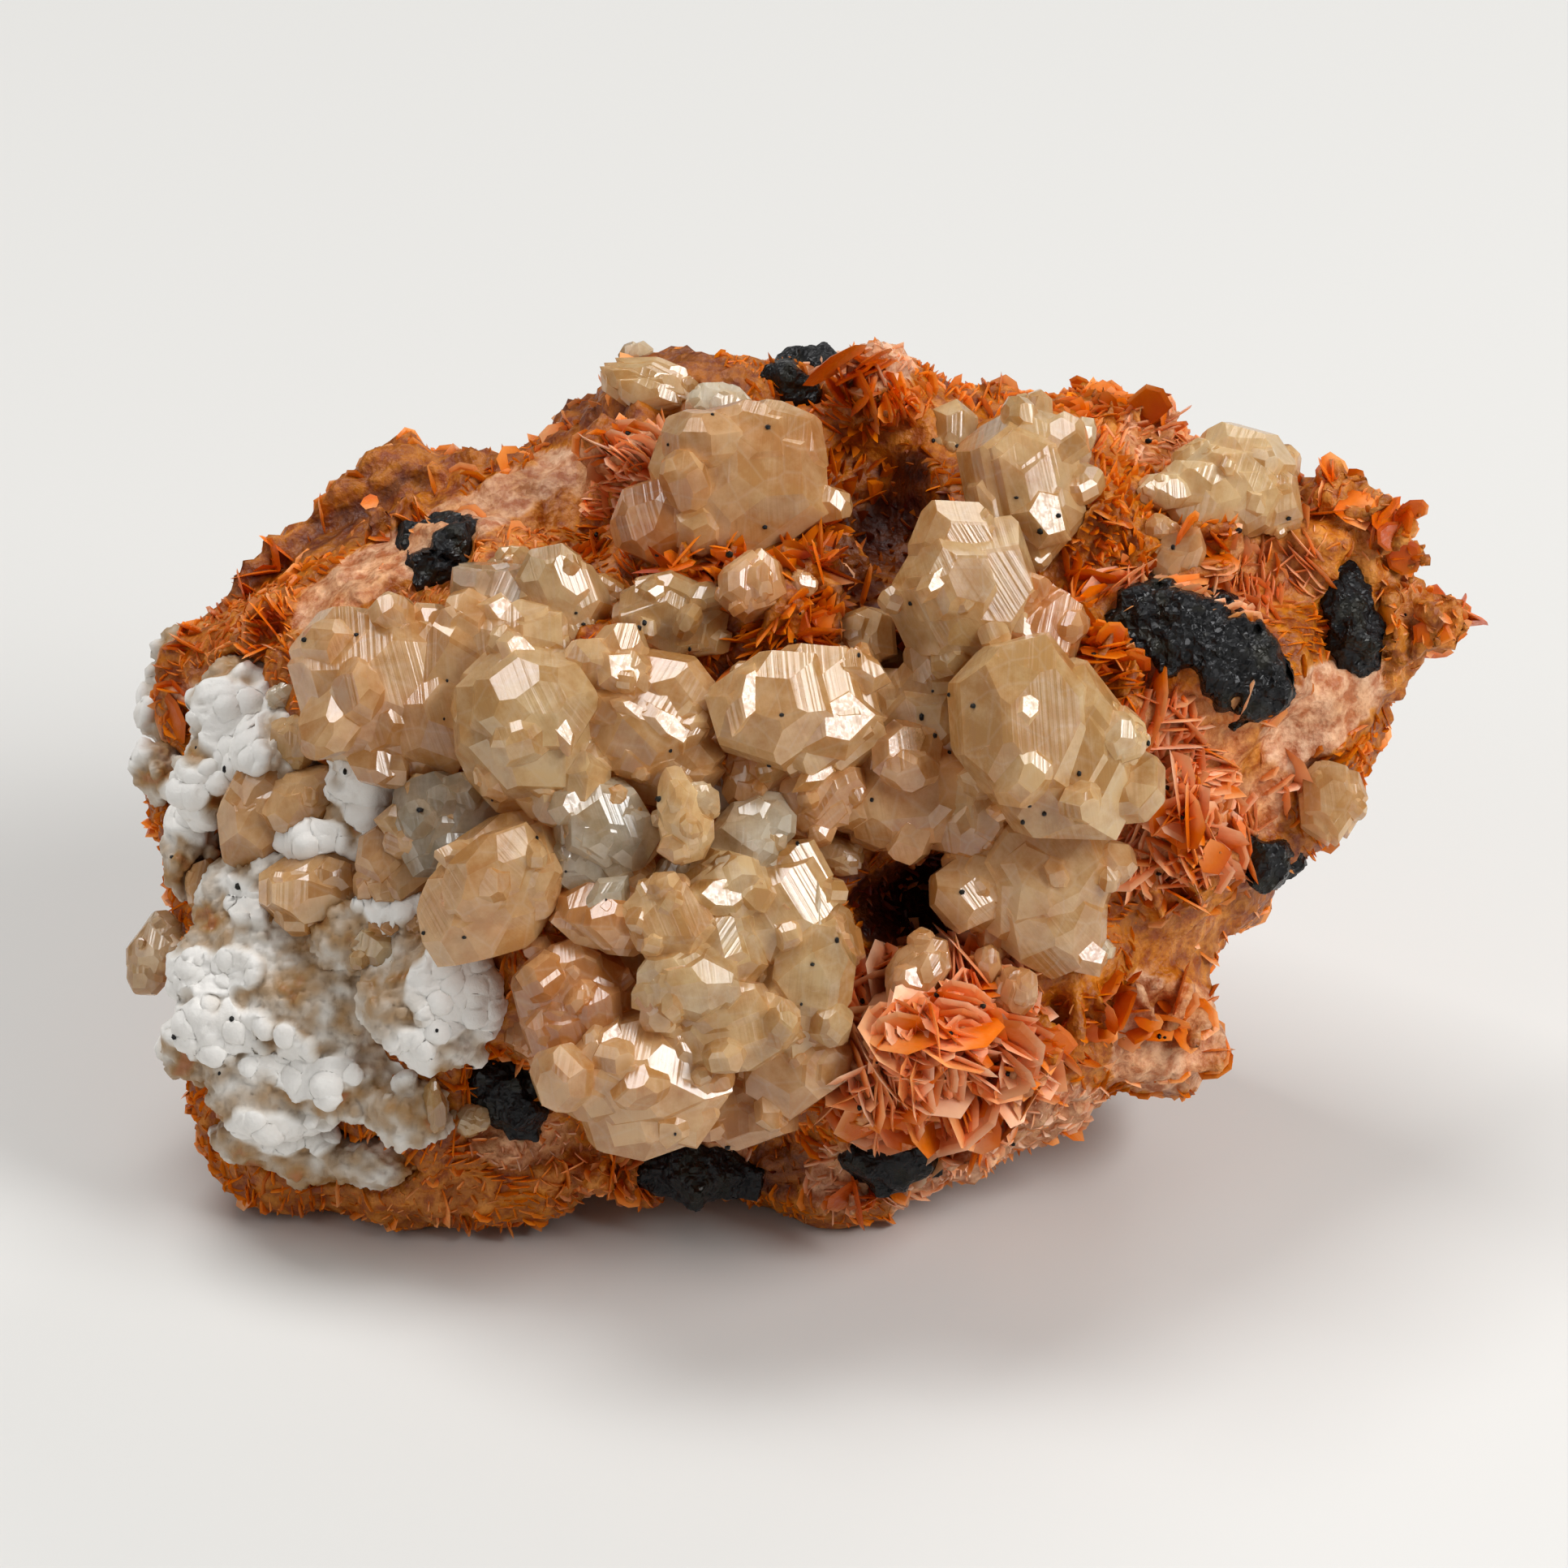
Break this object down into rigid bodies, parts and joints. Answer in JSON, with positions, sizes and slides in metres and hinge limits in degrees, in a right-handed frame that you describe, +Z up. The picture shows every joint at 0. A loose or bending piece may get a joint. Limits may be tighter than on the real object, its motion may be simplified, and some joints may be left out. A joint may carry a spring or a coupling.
{
  "type": "barite with cerussite mineral specimen",
  "caption": "Orange bladed barite with stout honey-tan cerussite crystals, a white crust and black galena, broken off flat so that it stands.",
  "frame": {"origin": "middle of the specimen's box, on the surface that it stands on", "axes": "+X to the right along the longest side, as seen from the crystal-covered front; +Y to the back; +Z up"},
  "size_m": [0.0725, 0.0468, 0.0435],
  "materials": {
    "barite": "orange to peach tabular barite, waxy on the blades and dull between them",
    "cerussite": "honey-tan cerussite, translucent, adamantine to resinous lustre",
    "white_crust": "white powdery crust, matt, rounded lobes",
    "galena": "dark lead-grey galena, pitted, with small bright cleavage faces"
  },
  "bodies": {
    "root": {"barite_matrix": "barite", "cerussite_barrel": "cerussite", "cerussite_clear_tablet": "cerussite", "cerussite_island": "cerussite", "cerussite_islet": "cerussite", "cerussite_kidney": "cerussite", "cerussite_left_bead": "cerussite", "cerussite_low_bead": "cerussite", "cerussite_milky_knob": "cerussite", "cerussite_ochre_knob": "cerussite", "cerussite_ridge_top": "cerussite", "cerussite_rough_block": "cerussite", "cerussite_shard": "cerussite", "cerussite_smoky_bead": "cerussite", "cerussite_striped_stub": "cerussite", "cerussite_summit": "cerussite", "cerussite_tooth": "cerussite", "cerussite_top_bead": "cerussite", "cerussite_top_bud": "cerussite", "cerussite_upper_right_block": "cerussite", "cerussite_water_clear": "cerussite", "crust_cliff": "white_crust", "crust_shoulder": "white_crust", "crust_slope": "white_crust", "crust_spur": "white_crust", "galena_base_left": "galena", "galena_base_right": "galena", "galena_far_right": "galena", "galena_left": "galena", "galena_lower_right": "galena", "galena_pocket": "galena", "galena_right": "galena", "galena_top": "galena"}
  },
  "joints": []
}
